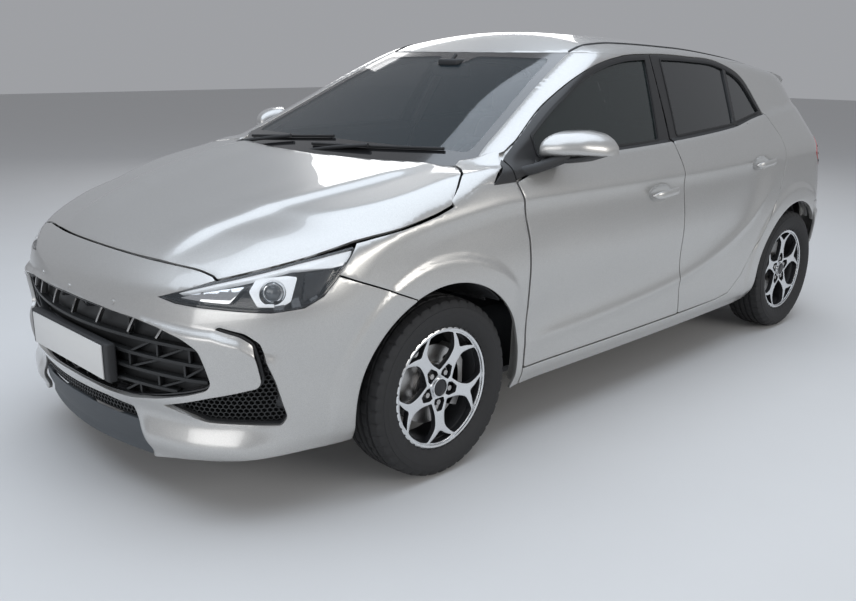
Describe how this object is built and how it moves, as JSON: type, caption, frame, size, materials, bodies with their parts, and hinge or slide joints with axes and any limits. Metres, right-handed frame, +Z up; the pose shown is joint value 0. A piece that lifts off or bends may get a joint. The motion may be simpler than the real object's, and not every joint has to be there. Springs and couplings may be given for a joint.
{
  "type": "hatchback car",
  "caption": "Compact five-door hatchback car with steered front wheels, free-turning wheels, hinged side doors, bonnet and tailgate.",
  "frame": {"origin": "on the ground, at the middle of the overall length and on the centre plane", "axes": "+Z up, the nose towards -Y, the car's own left side towards +X"},
  "size_m": [2.02, 4.0998, 1.4949],
  "materials": {
    "paint": "metallic",
    "black_plastic": "satin",
    "lamp": "clear",
    "red_lens": "gloss",
    "glass": "tinted",
    "underbody": "satin",
    "trim": "grained",
    "fabric": "woven",
    "cast_metal": "cast",
    "chassis_steel": "coated",
    "steel": "dull",
    "tyre": "matte",
    "alloy": "machined"
  },
  "bodies": {
    "chassis": {"body_sides": "paint", "fenders": "paint", "bumper_front": "paint", "chin_lip": "black_plastic", "grille_inserts": "black_plastic", "headlamps": "lamp", "tail_lamps": "red_lens", "diffuser": "black_plastic", "bumper_rear": "paint", "roof_panel": "paint", "windscreen": "glass", "cowl": "black_plastic", "floor_pan": "underbody", "rear_wheel_houses": "underbody", "front_structure": "underbody", "wheel_liners": "black_plastic", "dashboard": "trim", "steering_wheel": "trim", "front_seats": "fabric", "rear_bench": "fabric", "engine": "cast_metal", "front_subframe": "chassis_steel", "radiator": "cast_metal", "rear_axle": "chassis_steel", "exhaust": "steel", "fuel_tank": "black_plastic", "panel_hinges": "chassis_steel"},
    "bonnet": {"bonnet": "paint"},
    "tailgate": {"tailgate_panel": "paint", "tailgate_glass": "glass"},
    "door_front_left": {"door_front_left": "paint", "glass_front_left": "glass"},
    "door_rear_left": {"door_rear_left": "paint", "glass_rear_left": "glass"},
    "knuckle_left": {"knuckle_left": "chassis_steel"},
    "wheel_front_left": {"tyre_front_left": "tyre", "rim_front_left": "alloy"},
    "wheel_rear_left": {"tyre_rear_left": "tyre", "rim_rear_left": "alloy"},
    "door_front_right": {"door_front_right": "paint", "glass_front_right": "glass"},
    "door_rear_right": {"door_rear_right": "paint", "glass_rear_right": "glass"},
    "knuckle_right": {"knuckle_right": "chassis_steel"},
    "wheel_front_right": {"tyre_front_right": "tyre", "rim_front_right": "alloy"},
    "wheel_rear_right": {"tyre_rear_right": "tyre", "rim_rear_right": "alloy"}
  },
  "joints": [
    {"name": "door_front_left_hinge", "type": "hinge", "parent": "chassis", "child": "door_front_left", "pos_m": [0.868, -0.714, 0.685], "axis": [0, 0, -1], "range_deg": [0, 68]},
    {"name": "door_rear_left_hinge", "type": "hinge", "parent": "chassis", "child": "door_rear_left", "pos_m": [0.883, 0.302, 0.674], "axis": [0, 0, -1], "range_deg": [0, 68]},
    {"name": "door_front_right_hinge", "type": "hinge", "parent": "chassis", "child": "door_front_right", "pos_m": [-0.868, -0.714, 0.685], "axis": [0, 0, 1], "range_deg": [0, 68]},
    {"name": "door_rear_right_hinge", "type": "hinge", "parent": "chassis", "child": "door_rear_right", "pos_m": [-0.883, 0.302, 0.674], "axis": [0, 0, 1], "range_deg": [0, 68]},
    {"name": "bonnet_hinge", "type": "hinge", "parent": "chassis", "child": "bonnet", "pos_m": [0, -0.9915, 0.968], "axis": [-1, 0, 0], "range_deg": [0, 50]},
    {"name": "tailgate_hinge", "type": "hinge", "parent": "chassis", "child": "tailgate", "pos_m": [0, 1.512, 1.36294], "axis": [1, 0, 0], "range_deg": [0, 74]},
    {"name": "steer_left", "type": "hinge", "parent": "chassis", "child": "knuckle_left", "pos_m": [0.725, -1.1615, 0.19], "axis": [-0.2282, 0, 0.9736], "range_deg": [-35, 35]},
    {"name": "steer_right", "type": "hinge", "parent": "chassis", "child": "knuckle_right", "pos_m": [-0.725, -1.1615, 0.19], "axis": [0.2282, 0, 0.9736], "range_deg": [-35, 35]},
    {"name": "wheel_front_left_spin", "type": "hinge", "parent": "knuckle_left", "child": "wheel_front_left", "pos_m": [0.762, -1.1615, 0.3105], "axis": [1, 0, 0], "continuous": true},
    {"name": "wheel_rear_left_spin", "type": "hinge", "parent": "chassis", "child": "wheel_rear_left", "pos_m": [0.762, 1.4085, 0.3105], "axis": [1, 0, 0], "continuous": true},
    {"name": "wheel_front_right_spin", "type": "hinge", "parent": "knuckle_right", "child": "wheel_front_right", "pos_m": [-0.762, -1.1615, 0.3105], "axis": [1, 0, 0], "continuous": true},
    {"name": "wheel_rear_right_spin", "type": "hinge", "parent": "chassis", "child": "wheel_rear_right", "pos_m": [-0.762, 1.4085, 0.3105], "axis": [1, 0, 0], "continuous": true}
  ],
  "couplings": [
    {"joint": "steer_right", "follows": "steer_left", "ratio": 1}
  ]
}
